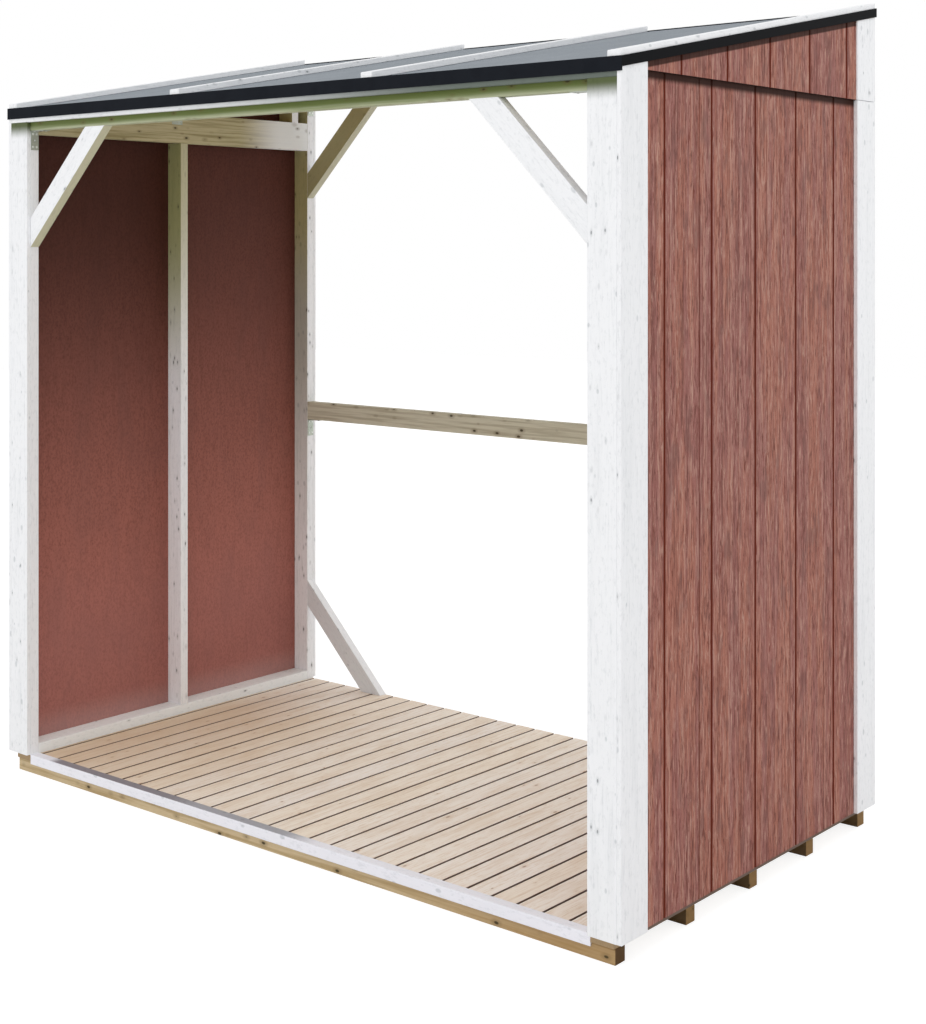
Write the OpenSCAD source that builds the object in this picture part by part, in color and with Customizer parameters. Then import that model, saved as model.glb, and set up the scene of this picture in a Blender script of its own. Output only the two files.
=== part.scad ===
// Open-fronted log store: two grooved sheet walls on a stud frame, a slatted floor on
// five ground bearers, and a felted mono-pitch roof that rises towards the back.
// Millimetres. +X runs along the front to the right, +Y to the back, +Z up.
// The origin is on the ground, under the middle of the floor plan.

/* [Body] */
// Width over the corner boards
body_w = 2242; // [2100:2:2700]
// Depth over the corner boards
body_d = 1222; // [1100:2:1500]
// Height from the ground to the underside of the roof boards at the front face
eaves_h = 1975; // [1850:5:2400]
// How much the roof rises from the front face to the back face
roof_rise = 234; // [190:2:280]

/* [Floor] */
// Side of a square ground bearer
bearer_s = 38; // [32:1:50]
// Thickness of the floor boards
floor_t = 15; // [12:1:22]
// Distance from the front face back to the front bearer
bearer_set_back = 18; // [16:1:24]
// Height of the threshold lip that hangs down in front of the front bearer
threshold_lip = 10; // [5:1:15]
// How far the threshold stands above the floor boards
threshold_up = 4; // [2:1:10]
// Height of the undersides of the corner boards and wall sheets above the ground
boards_up = 56; // [50:1:70]

/* [Frame] */
// Thickness of the frame timbers
stud_t = 30; // [26:1:40]
// Depth of the posts, studs and sole plates, across the wall
stud_d = 64; // [55:1:75]
// Distance from the front face to the middle of the side walls' middle stud
mid_stud_y = 614; // [550:2:680]
// Height of the front beam
front_beam_h = 48; // [40:1:60]
// Height of the back beam
back_beam_h = 100; // [80:2:120]
// Height of the level rail at the top of each side wall
side_rail_h = 96; // [80:2:110]
// Distance from the eaves height down to the underside of the level side rails
side_rail_drop = 56; // [50:1:70]
// Distance from the back face to the middle of the block that stands on each side rail
rail_block_back = 102; // [80:2:160]
// Gap between a side rail and the rafter above and behind it
rail_gap = 4; // [1:1:8]
// Height of the middle rail across the back, from the ground to its underside
mid_rail_z = 971; // [800:5:1200]
// Height of the middle rail's own section
mid_rail_h = 62; // [50:1:80]
// Depth of a rafter
rafter_h = 44; // [36:1:48]
// Distance from the middle of the roof to the middle of each inner rafter
inner_rafter_x = 360; // [320:5:420]

/* [Braces] */
// Width of a brace
brace_w = 62; // [50:1:75]
// How far a brace reaches along the post and along the timber that it holds
brace_reach = 350; // [300:5:420]

/* [Cladding] */
// Thickness of the grooved wall sheets
sheet_t = 16; // [12:1:19]
// Thickness of the upper gable sheets, which lap over the wall sheets
gable_t = 8; // [6:1:10]
// Height of the gable sheets' lower edge above the ground
gable_z = 1976; // [1900:2:2000]
// Thickness of the white corner boards
board_t = 12; // [10:1:16]
// Width of the corner boards on the sides
side_board_w = 105; // [90:1:120]
// Height of the batten that closes the front edge under the roof boards
eaves_batten_h = 21; // [16:1:28]

/* [Roof] */
// Thickness of the roof boards, measured upright
roof_board_t = 18; // [15:1:22]
// Thickness of the roofing felt, measured upright
felt_t = 3; // [2:0.5:4]
// Thickness of the black edge trim
trim_t = 3; // [2:0.5:4]
// How far the edge trim stands above the felt
trim_up = 3; // [1:0.5:5]
// How far the front trim hangs below the underside of the roof boards
trim_drop = 9; // [5:1:15]
// Width of the battens that hold the felt down
batten_w = 38; // [30:1:45]
// Height of the battens above the felt
batten_h = 17; // [12:1:22]

/* [Steel brackets] */
// Length of each leg of an angle bracket
bracket_leg = 58; // [45:1:70]
// Width of an angle bracket
bracket_w = 26; // [20:1:28]
// Thickness of the bracket's steel
bracket_t = 2; // [1.5:0.5:3]

/* [Hidden] */

white_paint = "#f2f2f2";
treated_wood = "#9a8552";
floor_wood = "#d2b9a0";
siding_red = "#8e5547";
felt_grey = "#7e848c";
trim_black = "#15171b";
steel_grey = "#9fa3a3";

bearers_n = 5;

// Across: half widths of the layers, from the outside in
board_x = body_w / 2;
sheet_x = board_x - board_t;
frame_x = sheet_x - sheet_t;
inner_x = frame_x - stud_d;

// Front to back: faces of the layers
front_y = -body_d / 2;
back_y = body_d / 2;
frame_front_y = front_y + board_t;
frame_back_y = back_y - board_t;
post_back_y = frame_front_y + stud_t;
back_post_y = frame_back_y - stud_t;
bearer_front_y = front_y + bearer_set_back;
bearer_pitch = (frame_back_y - bearer_s - bearer_front_y) / (bearers_n - 1);

// Upwards
floor_z = bearer_s + floor_t;
slope = roof_rise / body_d;
front_beam_z = roof_under(frame_front_y) - front_beam_h;
back_beam_z = roof_under(back_post_y) - back_beam_h;
side_rail_z = eaves_h - side_rail_drop;
side_rail_top_z = side_rail_z + side_rail_h;
felt_z = roof_board_t;
trim_h = roof_board_t + felt_t + trim_up;

// Underside of the roof boards at a place between front and back
function roof_under(y) = eaves_h + slope * (y - front_y);

// One timber from its two opposite corners
module timber(low, high) {
    translate(low) cube(high - low);
}

// A shape drawn in the front-to-back plane, given its thickness from x = x0 to x1
module side_profile(x0, x1) {
    translate([x0, 0, 0]) rotate([90, 0, 90]) linear_extrude(x1 - x0) children();
}

// The left-hand twin of a right-hand piece
module twin(side) {
    mirror([side == "left" ? 1 : 0, 0, 0]) children();
}

// A layer of the roof between two heights above the roof boards' underside
module roof_layer(x0, x1, y0, y1, low, high) {
    side_profile(x0, x1) polygon([
        [y0, roof_under(y0) + low], [y1, roof_under(y1) + low],
        [y1, roof_under(y1) + high], [y0, roof_under(y0) + high]
    ]);
}

// An upright sheet or board that runs up to the underside of the roof
module under_roof(x0, x1, y0, y1, z0) {
    side_profile(x0, x1) polygon([
        [y0, z0], [y1, z0], [y1, roof_under(y1)], [y0, roof_under(y0)]
    ]);
}

// A brace between a right-hand post and the timber above (up = 1) or below (up = -1)
module brace(y0, z_end, up) {
    cut = brace_w * sqrt(2);
    translate([inner_x, y0 + stud_t, z_end]) rotate([90, 0, 0]) linear_extrude(stud_t)
        polygon([
            [0, -up * brace_reach], [0, -up * (brace_reach - cut)],
            [-(brace_reach - cut), 0], [-brace_reach, 0]
        ]);
}

// An angle bracket in the corner under a timber, against a right-hand face at x
module bracket(x, y, z) {
    translate([x - bracket_leg, y, z - bracket_t]) cube([bracket_leg, bracket_w, bracket_t]);
    translate([x - bracket_t, y, z - bracket_leg]) cube([bracket_t, bracket_w, bracket_leg]);
}

// ---- floor ----

module bearer(i) {
    y = bearer_front_y + (i - 1) * bearer_pitch;
    color(treated_wood) timber([-frame_x, y, 0], [frame_x, y + bearer_s, bearer_s]);
}

module floor_deck() {
    color(floor_wood) timber([-frame_x, post_back_y, bearer_s], [frame_x, frame_back_y, floor_z]);
}

module threshold() {
    top_z = floor_z + threshold_up;
    color(white_paint) side_profile(-inner_x, inner_x) polygon([
        [frame_front_y, bearer_s - threshold_lip], [bearer_front_y, bearer_s - threshold_lip],
        [bearer_front_y, bearer_s], [post_back_y, bearer_s],
        [post_back_y, top_z], [frame_front_y, top_z]
    ]);
}

// ---- frame ----

module front_post(side) {
    color(white_paint) twin(side)
        timber([inner_x, frame_front_y, bearer_s], [frame_x, post_back_y, front_beam_z]);
}

module back_post(side) {
    color(white_paint) twin(side)
        timber([inner_x, back_post_y, floor_z], [frame_x, frame_back_y, back_beam_z]);
}

module sole_plate(side) {
    color(white_paint) twin(side)
        timber([inner_x, post_back_y, floor_z], [frame_x, back_post_y, floor_z + stud_t]);
}

module mid_stud(side) {
    y = front_y + mid_stud_y;
    color(white_paint) twin(side)
        timber([inner_x, y - stud_t / 2, floor_z + stud_t], [frame_x, y + stud_t / 2, side_rail_z]);
}

module top_rail(side) {
    slope_y = front_y + (side_rail_top_z - eaves_h) / slope;
    color(treated_wood) twin(side) side_profile(inner_x, inner_x + stud_t) polygon([
        [post_back_y, side_rail_z], [back_post_y, side_rail_z], [back_post_y, side_rail_top_z],
        [slope_y, side_rail_top_z], [post_back_y, roof_under(post_back_y)]
    ]);
}

// The short uprights between the side rails and the outer rafters
module rail_blocks() {
    y0 = back_y - rail_block_back - stud_t / 2;
    y1 = y0 + stud_t;
    color(treated_wood) for (side = ["left", "right"]) twin(side)
        side_profile(inner_x, frame_x) polygon([
            [y0, side_rail_top_z], [y1, side_rail_top_z],
            [y1, roof_under(y1) - rafter_h], [y0, roof_under(y0) - rafter_h]
        ]);
}

module front_beam() {
    color(treated_wood) timber(
        [-frame_x, frame_front_y, front_beam_z],
        [frame_x, post_back_y, front_beam_z + front_beam_h]
    );
}

module back_beam() {
    color(treated_wood) timber(
        [-frame_x, back_post_y, back_beam_z],
        [frame_x, frame_back_y, back_beam_z + back_beam_h]
    );
}

module back_mid_rail() {
    color(treated_wood) timber(
        [-inner_x, back_post_y, mid_rail_z], [inner_x, frame_back_y, mid_rail_z + mid_rail_h]
    );
}

module front_brace(side) {
    color(white_paint) twin(side) brace(frame_front_y, front_beam_z, 1);
}

module upper_back_brace(side) {
    color(white_paint) twin(side) brace(back_post_y, back_beam_z, 1);
}

module lower_back_brace(side) {
    color(white_paint) twin(side) brace(back_post_y, floor_z, -1);
}

// ---- cladding ----

module wall_sheet(side) {
    color(siding_red) twin(side)
        under_roof(frame_x, sheet_x, frame_front_y, frame_back_y, boards_up);
}

module gable_sheet(side) {
    y0 = front_y + side_board_w;
    color(siding_red) twin(side)
        under_roof(sheet_x, sheet_x + gable_t, y0, back_y - side_board_w, gable_z);
}

module front_board(side) {
    color(white_paint) twin(side) timber(
        [inner_x, front_y, boards_up], [sheet_x, frame_front_y, eaves_h - eaves_batten_h]
    );
}

module back_board(side) {
    color(white_paint) twin(side) under_roof(inner_x, sheet_x, frame_back_y, back_y, boards_up);
}

module front_side_board(side) {
    color(white_paint) twin(side)
        under_roof(sheet_x, board_x, front_y, front_y + side_board_w, boards_up);
}

module back_side_board(side) {
    color(white_paint) twin(side)
        under_roof(sheet_x, board_x, back_y - side_board_w, back_y, boards_up);
}

module eaves_batten() {
    color(white_paint) under_roof(
        -sheet_x, sheet_x, front_y, frame_front_y, eaves_h - eaves_batten_h
    );
}

// ---- roof ----

// The outer rafters fit between the side rails and the wall sheets
module rafters() {
    outer_x = inner_x + stud_t + rail_gap;
    color(treated_wood) {
        for (side = ["left", "right"]) twin(side)
            roof_layer(outer_x, frame_x, post_back_y, back_post_y, -rafter_h, 0);
        for (x = [-inner_rafter_x, inner_rafter_x])
            roof_layer(x - stud_t / 2, x + stud_t / 2, post_back_y, back_post_y, -rafter_h, 0);
    }
}

module roof_boards() {
    color(floor_wood) roof_layer(-board_x, board_x, front_y, back_y, 0, roof_board_t);
}

module roof_felt() {
    color(felt_grey) roof_layer(-board_x, board_x, front_y, back_y, felt_z, felt_z + felt_t);
}

module roof_battens() {
    edge_x = board_x - batten_w / 2;
    low = felt_z + felt_t;
    color(white_paint) for (x = [-edge_x, -inner_rafter_x, inner_rafter_x, edge_x])
        roof_layer(x - batten_w / 2, x + batten_w / 2, front_y, back_y, low, low + batten_h);
}

module roof_trim() {
    out_x = board_x + trim_t;
    color(trim_black) {
        for (side = ["left", "right"])
            twin(side) roof_layer(board_x, out_x, front_y, back_y, 0, trim_h);
        timber([-out_x, front_y - trim_t, eaves_h - trim_drop], [out_x, front_y, eaves_h + trim_h]);
        timber(
            [-out_x, back_y, roof_under(back_y)], [out_x, back_y + trim_t, roof_under(back_y) + trim_h]
        );
    }
}

module corner_brackets() {
    front_y0 = frame_front_y + (stud_t - bracket_w) / 2;
    back_y0 = back_post_y + (stud_t - bracket_w) / 2;
    color(steel_grey) for (side = ["left", "right"]) twin(side) {
        bracket(inner_x, front_y0, front_beam_z);
        bracket(inner_x, back_y0, mid_rail_z);
        bracket(inner_x, back_y0, back_beam_z);
    }
}

bearer(1);  // bearer_1
bearer(2);  // bearer_2
bearer(3);  // bearer_3
bearer(4);  // bearer_4
bearer(5);  // bearer_5
floor_deck();
threshold();
front_post("left");  // left_front_post
front_post("right");  // right_front_post
back_post("left");  // left_back_post
back_post("right");  // right_back_post
mid_stud("left");  // left_mid_stud
mid_stud("right");  // right_mid_stud
sole_plate("left");  // left_sole_plate
sole_plate("right");  // right_sole_plate
top_rail("left");  // left_top_rail
top_rail("right");  // right_top_rail
rail_blocks();
front_beam();
back_beam();
back_mid_rail();
front_brace("left");  // left_front_brace
front_brace("right");  // right_front_brace
upper_back_brace("left");  // left_upper_back_brace
upper_back_brace("right");  // right_upper_back_brace
lower_back_brace("left");  // left_lower_back_brace
lower_back_brace("right");  // right_lower_back_brace
wall_sheet("left");  // left_wall_sheet
wall_sheet("right");  // right_wall_sheet
gable_sheet("left");  // left_gable_sheet
gable_sheet("right");  // right_gable_sheet
front_board("left");  // left_front_board
front_board("right");  // right_front_board
back_board("left");  // left_back_board
back_board("right");  // right_back_board
front_side_board("left");  // left_front_side_board
front_side_board("right");  // right_front_side_board
back_side_board("left");  // left_back_side_board
back_side_board("right");  // right_back_side_board
eaves_batten();
rafters();
roof_boards();
roof_felt();
roof_battens();
roof_trim();
corner_brackets();
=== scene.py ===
"""Log store: the boards, grooved sheets, felt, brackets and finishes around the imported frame."""

import math
import random

import bmesh
import bpy
from mathutils import Matrix, Vector, noise


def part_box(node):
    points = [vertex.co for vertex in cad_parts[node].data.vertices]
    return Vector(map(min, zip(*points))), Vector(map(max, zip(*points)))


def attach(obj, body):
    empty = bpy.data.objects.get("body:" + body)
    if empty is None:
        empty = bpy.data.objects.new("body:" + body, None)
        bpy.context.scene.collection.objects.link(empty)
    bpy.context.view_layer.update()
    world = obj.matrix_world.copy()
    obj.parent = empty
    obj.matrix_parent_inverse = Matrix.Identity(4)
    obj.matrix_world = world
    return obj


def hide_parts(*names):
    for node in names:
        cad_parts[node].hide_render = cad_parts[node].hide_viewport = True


bl_info = {
    "name": "Log Store",
    "version": (1, 0, 0),
    "blender": (4, 5, 0),
    "location": "View3D > Sidebar > Log Store",
    "description": "Boards, sheets, roof covering, brackets and finishes of a timber log store",
    "category": "Object",
}

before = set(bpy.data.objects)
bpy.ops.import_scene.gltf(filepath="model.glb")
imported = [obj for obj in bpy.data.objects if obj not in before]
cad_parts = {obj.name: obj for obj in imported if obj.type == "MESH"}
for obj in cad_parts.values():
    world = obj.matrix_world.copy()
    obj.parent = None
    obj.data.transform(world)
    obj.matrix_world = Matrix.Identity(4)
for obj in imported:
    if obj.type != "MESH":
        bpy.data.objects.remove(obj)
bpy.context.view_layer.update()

MM = 0.001
SIDES = ("left", "right")
X, Y, Z = 0, 1, 2

# The colour sockets of a Mix node
MIX_A, MIX_B, MIX_OUT = 6, 7, 2

# Points this close together, in metres, are one
WELD = 0.01 * MM

# The way the grain runs, as the turn that brings it onto Z
UPRIGHT = (0.0, 0.0, 0.0)
ALONG_X = (0.0, -math.pi / 2, 0.0)
ALONG_Y = (math.pi / 2, 0.0, 0.0)
RISING_RIGHT = (0.0, -math.pi / 4, 0.0)
RISING_LEFT = (0.0, math.pi / 4, 0.0)

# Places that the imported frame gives
FRONT_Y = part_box("left_front_board")[0].y
BACK_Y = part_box("left_back_board")[1].y
EAVES_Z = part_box("roof_boards")[0].z
ROOF_SLOPE = (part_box("left_back_board")[1].z - EAVES_Z) / (BACK_Y - FRONT_Y)
ROOF_HALF_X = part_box("roof_boards")[1].x
BACK_EAVES_Z = EAVES_Z + ROOF_SLOPE * (BACK_Y - FRONT_Y)
ROOF_BOARD_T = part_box("roof_boards")[1].z - BACK_EAVES_Z
FELT_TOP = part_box("roof_felt")[1].z - BACK_EAVES_Z
BATTEN_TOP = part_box("roof_battens")[1].z - BACK_EAVES_Z


def under_roof(y):
    """The height of the roof boards' underside."""
    return EAVES_Z + ROOF_SLOPE * (y - FRONT_Y)


def linear(code):
    """The scene-linear colour of an sRGB hex value."""
    parts = [int(code[i:i + 2], 16) / 255 for i in (0, 2, 4)]
    return (*[c / 12.92 if c <= 0.04045 else ((c + 0.055) / 1.055) ** 2.4 for c in parts], 1.0)


def colour(name, code):
    """A colour that a user can change."""
    return bpy.props.FloatVectorProperty(
        name=name, subtype="COLOR", size=4, min=0, max=1, default=linear(code)
    )


def length(name, default_mm):
    """A length that a user can change."""
    return bpy.props.FloatProperty(
        name=name, default=default_mm * MM, min=0.0, unit="LENGTH", subtype="DISTANCE"
    )


class LogStoreSizes(bpy.types.PropertyGroup):
    """Sizes of the shapes that are finer than the frame"""

    deck_gap: length("Gap between two floor boards", 6.6)
    deck_pitch: length("One floor board and one gap", 75.6)
    deck_round: length("Rounding along a floor board", 1.5)
    timber_round: length("Rounding along the planed timbers", 1.5)
    groove_pitch: length("Distance between two grooves", 203)
    groove_w: length("Width of a groove at the face", 9)
    groove_depth: length("Depth of a groove", 3.2)
    joint_w: length("Width of the fine joint", 4.5)
    joint_line: length("From the front to the fine joint", 338)
    wall_first_groove: length("From the front to the first wall groove", 190)
    gable_first_groove: length("From the front to the first gable groove", 249)
    roof_board_pitch: length("Cover width of a roof board", 94)
    roof_board_round: length("Chamfer of the V joints under the roof", 3)
    felt_wave: length("How far the felt lifts off the boards", 0.6)
    bracket_hole: length("Diameter of a hole in a bracket", 5)
    screw_head: length("Diameter of a bracket screw's head", 8)
    board_seam: length("Gap between the lengths of a back side board", 1.2)


class LogStoreFinishes(bpy.types.PropertyGroup):
    """Colours of the finishes"""

    paint: colour("Satin white paint", "f9fafc")
    paint_grain: colour("Grain that shows through the paint", "e0e2e3")
    paint_knot: colour("Knots that show through the paint", "7a7f82")
    # The olive of the timber under thin paint, used also as painted shade under the roof
    stain: colour("Olive stain where the paint is thin, under the roof", "b9b07c")
    # A green painted shadow under the eaves trim
    eaves_shadow_green: colour("Green painted shadow under the eaves", "5d6b2e")
    treated: colour("Pressure-treated pine of the bearers", "d2bd98")
    treated_dark: colour("Late wood of the bearers", "b0976c")
    rail: colour("Treated pine of the rails under the roof", "c8c09a")
    rail_dark: colour("Late wood of the rails", "958b60")
    floor: colour("Palest, pinkish floor boards", "fff8f0")
    floor_straw: colour("Warmest, straw-coloured floor boards", "fff1dc")
    floor_dark: colour("Late wood of the floor boards", "e0c6a8")
    roof_board: colour("Raw spruce roof boards", "c3a878")
    siding: colour("Red-brown coat on the embossed face", "ab7060")
    siding_mauve: colour("Mauve streaks of the coat", "9d6861")
    siding_dark: colour("The coat in the embossed grain", "74483f")
    siding_light: colour("The coat on the ridges", "c09788")
    # Darker than the coat: painted shade down in a groove, and also the colour of the pores
    groove: colour("Coat and painted shade down in a groove, and in the pores", "703123")
    sheet_back: colour("Smooth inner face of the wall sheets", "ad6d61")
    # Painted shade on the inner face, close to the roof
    sheet_back_shade: colour("Painted shade on the inner face close to the roof", "281209")
    felt: colour("Grey mineral chips on the felt", "8f969d")
    trim: colour("Black coat of the edge trim", "1c1f25")
    zinc: colour("Dull zinc plating", "b4baae")


def sizes():
    return bpy.context.scene.log_store_sizes


def finishes():
    return bpy.context.scene.log_store_finishes


def new_object(name, data):
    """An object in the scene."""
    made = bpy.data.objects.new(name, data)
    bpy.context.scene.collection.objects.link(made)
    return made


# ---- node and material helpers ----

def add_node(tree, kind, settings=None, inputs=None):
    """Adds a shader node with its settings, its socket values, and links from the sockets among them."""
    made = tree.nodes.new("ShaderNode" + kind)
    for name, value in (settings or {}).items():
        setattr(made, name, value)
    for key, value in (inputs or {}).items():
        if isinstance(value, bpy.types.NodeSocket):
            tree.links.new(value, made.inputs[key])
        else:
            made.inputs[key].default_value = value
    return made


def calc(tree, operation, *values, kind="Math"):
    """The result of a Math node, or of a VectorMath one."""
    return add_node(tree, kind, {"operation": operation}, dict(enumerate(values))).outputs[0]


def new_material(name):
    """A material and its node tree, with no nodes in it yet."""
    made = bpy.data.materials.new(name)
    made.use_nodes = True
    made.node_tree.nodes.clear()
    return made, made.node_tree


def grain_space(tree, turn, sway=0.0, across=55, along=300):
    """Returns a function that gives object coordinates with the grain along Z, in units of a pattern's
    size in mm, and the number by which each object, and each board of a joined piece, has its own part of
    the pattern. The grain sways by up to half of sway, over the distances across and along, all in mm."""
    place = add_node(tree, "TexCoord").outputs["Object"]
    turned = add_node(tree, "Mapping", None, {"Vector": place, "Rotation": turn})
    board = add_node(tree, "Attribute", {"attribute_name": "board"})
    chance = add_node(tree, "ObjectInfo").outputs["Random"]
    shift = calc(tree, "ADD", board.outputs["Fac"], chance)
    straight = calc(tree, "MULTIPLY_ADD", shift, (3.1, 5.3, 7.7), turned.outputs[0], kind="VectorMath")

    def scaled(vector, across, along):
        scale = (1 / (across * MM), 1 / (across * MM), 1 / (along * MM))
        return calc(tree, "MULTIPLY", vector, scale, kind="VectorMath")

    swaying = straight
    if sway:
        flow = add_node(
            tree, "TexNoise", None,
            {"Vector": scaled(straight, across, along), "Scale": 1.0, "Detail": 2.0, "Roughness": 0.5},
        ).outputs["Color"]
        middle = calc(tree, "SUBTRACT", flow, (0.5, 0.5, 0.5), kind="VectorMath")
        reach = (sway * MM, sway * MM, 0)
        swaying = calc(tree, "MULTIPLY_ADD", middle, reach, straight, kind="VectorMath")

    def space(across, along):
        return scaled(swaying, across, along)

    return space, shift


def grained(name, turn=UPRIGHT, *sway):
    """A new material, its node tree, and what grain_space returns for it."""
    made, tree = new_material(name)
    return (made, tree, *grain_space(tree, turn, *sway))


def ramp(tree, value, low, high, to_low=0.0, to_high=1.0):
    """Maps a value smoothly between two limits."""
    return add_node(
        tree, "MapRange", {"interpolation_type": "SMOOTHSTEP"},
        {"Value": value, "From Min": low, "From Max": high, "To Min": to_low, "To Max": to_high},
    ).outputs[0]


def mix(tree, share, first, second, blend="MIX"):
    """Mixes two colours."""
    settings = {"data_type": "RGBA", "blend_type": blend}
    return add_node(tree, "Mix", settings, {0: share, MIX_A: first, MIX_B: second}).outputs[MIX_OUT]


def layers(tree, base, *rows):
    """Lays colours over a base. A row gives a pattern, the values of it where the colour starts and where it
    is full, its depth there, and the colour."""
    for value, start, full, deep, top in rows:
        base = mix(tree, ramp(tree, value, start, full, 0.0, deep), base, top)
    return base


def times(tree, first, second):
    return calc(tree, "MULTIPLY", first, second)


def noise_value(tree, vector, detail=3, roughness=0.55, distortion=0.0):
    return add_node(
        tree, "TexNoise", None,
        {"Vector": vector, "Scale": 1.0, "Detail": detail, "Roughness": roughness, "Distortion": distortion},
    ).outputs["Fac"]


def knots(tree, space, across, along, radius, keep):
    """Shares from 0 to 1 that are 1 inside chance knots: the core, and the ring around it.
    A knot's radius is a share of the cell that it lies in, and keep is the share of cells with one."""
    cells = add_node(tree, "TexVoronoi", None, {"Vector": space(across, along), "Scale": 1.0})
    split = add_node(tree, "SeparateColor", None, {0: cells.outputs["Color"]})
    wanted = ramp(tree, split.outputs[0], 1 - keep, 1.02 - keep)
    size = calc(tree, "MULTIPLY_ADD", split.outputs[1], 0.6, 0.55)
    away = calc(tree, "DIVIDE", cells.outputs["Distance"], size)
    core = times(tree, ramp(tree, away, radius * 0.5, radius, 1.0, 0.0), wanted)
    ring = times(tree, ramp(tree, away, radius, radius * 2.4, 1.0, 0.0), wanted)
    return core, ring


def surface(tree, base, roughness, bump=None, bump_mm=0.5, bump_strength=0.4, metallic=0.0, specular=0.3):
    """The material's shader and output. At a specular level of 0.5 the gloss is plain, and less is dull."""
    inputs = {
        "Base Color": base, "Roughness": roughness, "Metallic": metallic, "Specular IOR Level": specular,
    }
    if bump is not None:
        relief = {"Strength": bump_strength, "Distance": bump_mm * MM, "Height": bump}
        inputs["Normal"] = add_node(tree, "Bump", None, relief).outputs[0]
    shader = add_node(tree, "BsdfPrincipled", None, inputs)
    add_node(tree, "OutputMaterial", None, {"Surface": shader.outputs[0]})


def object_axis(tree, axis):
    """One object coordinate in metres."""
    place = add_node(tree, "TexCoord").outputs["Object"]
    return add_node(tree, "SeparateXYZ", None, {0: place}).outputs[axis]


def below_roof(tree):
    """The height of a point over the sloping plane of the roof boards' underside, in metres."""
    place = add_node(tree, "TexCoord").outputs["Object"]
    part = add_node(
        tree, "VectorMath", {"operation": "DOT_PRODUCT"}, {0: place, 1: (0.0, -ROOF_SLOPE, 1.0)}
    ).outputs["Value"]
    return calc(tree, "SUBTRACT", part, under_roof(0))


def facing(tree, axis, sign):
    """1 on faces that look along an axis, 0 on the others."""
    normal = add_node(tree, "NewGeometry").outputs["Normal"]
    part = add_node(tree, "SeparateXYZ", None, {0: normal}).outputs[axis]
    return ramp(tree, times(tree, part, float(sign)), 0.35, 0.75)


# ---- materials ----

def tint(code, axis, start, end, deep, faces=None):
    """Weathering, or painted shade, that grows along an axis, from none at start to deep at end, on all
    faces or on those that look along an axis."""

    def shade(tree, base):
        share = ramp(tree, object_axis(tree, axis), start, end, 0.0, deep)
        if faces is not None:
            share = times(tree, share, facing(tree, *faces))
        return mix(tree, share, base, linear(code) if isinstance(code, str) else code)

    return shade


def face_tint(code, axis, sign, deep):
    """Weathering, or painted shade, of the faces that look along an axis."""

    def shade(tree, base):
        return mix(tree, times(tree, facing(tree, axis, sign), deep), base, linear(code))

    return shade


def painted_pine(use, turn, *shades, grain=1.0, streak=None, knotty=0.25, knot=None):
    """Planed pine under satin white paint: faint grain, soft grey smudges and small dark slits of knots
    show through the coat. Each shade takes the tree and the colour so far, and gives it weathered or with
    painted shade. Grain and streak set how strongly and in what colour the grain shows, knotty is the share
    of cells that have a knot, and knot is its colour."""
    look = finishes()
    name = "White painted pine" + (f", {use}" if use else "")
    made, tree, space, _ = grained(name, turn, 7, 50, 200)
    fine = noise_value(tree, space(5, 95))
    grit = noise_value(tree, space(8, 20), 3, 0.7)
    broad = noise_value(tree, space(30, 380), 2)
    smudge, _ = knots(tree, space, 30, 52, 0.2, 0.6)
    slit, ring = knots(tree, space, 20, 46, 0.14, knotty)
    base = look.paint
    for shade in shades:
        base = shade(tree, base)
    streak = look.paint_grain if streak is None else linear(streak)
    knot = look.paint_knot if knot is None else linear(knot)
    for share, dark in (
        (ramp(tree, fine, 0.52, 0.72, 0.0, 0.3 * grain), streak),
        (ramp(tree, grit, 0.5, 0.7, 0.0, 0.4), look.paint_grain),
        (ramp(tree, broad, 0.5, 0.75, 0.0, 0.2 * grain), streak),
        (times(tree, smudge, 0.9), look.paint_grain),
        (times(tree, ring, 0.2), knot),
        (times(tree, slit, 0.75), knot),
    ):
        base = mix(tree, share, base, dark, "MULTIPLY")
    surface(tree, base, 0.5, fine, 0.4, 0.25)
    return made


def treated_pine(use, turn, light, dark, *shades):
    """Pressure-treated pine, planed: growth rings drawn out along the piece, and brown knots."""
    made, tree, space, _ = grained(f"Treated pine, {use}", turn, 8, 40, 260)
    rings = noise_value(tree, space(8, 300))
    fine = noise_value(tree, space(3, 60), 2)
    core, ring = knots(tree, space, 26, 48, 0.17, 0.6)
    base = mix(tree, ramp(tree, rings, 0.42, 0.68, 0.0, 0.8), light, dark)
    base = mix(tree, ramp(tree, fine, 0.5, 0.8, 0.0, 0.4), base, dark)
    for shade in shades:
        base = shade(tree, base)
    base = mix(tree, times(tree, ring, 0.3), base, linear("6b5430"))
    base = mix(tree, times(tree, core, 0.9), base, linear("3a3018"))
    surface(tree, base, 0.75, fine, 0.4, 0.3)
    return made


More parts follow.
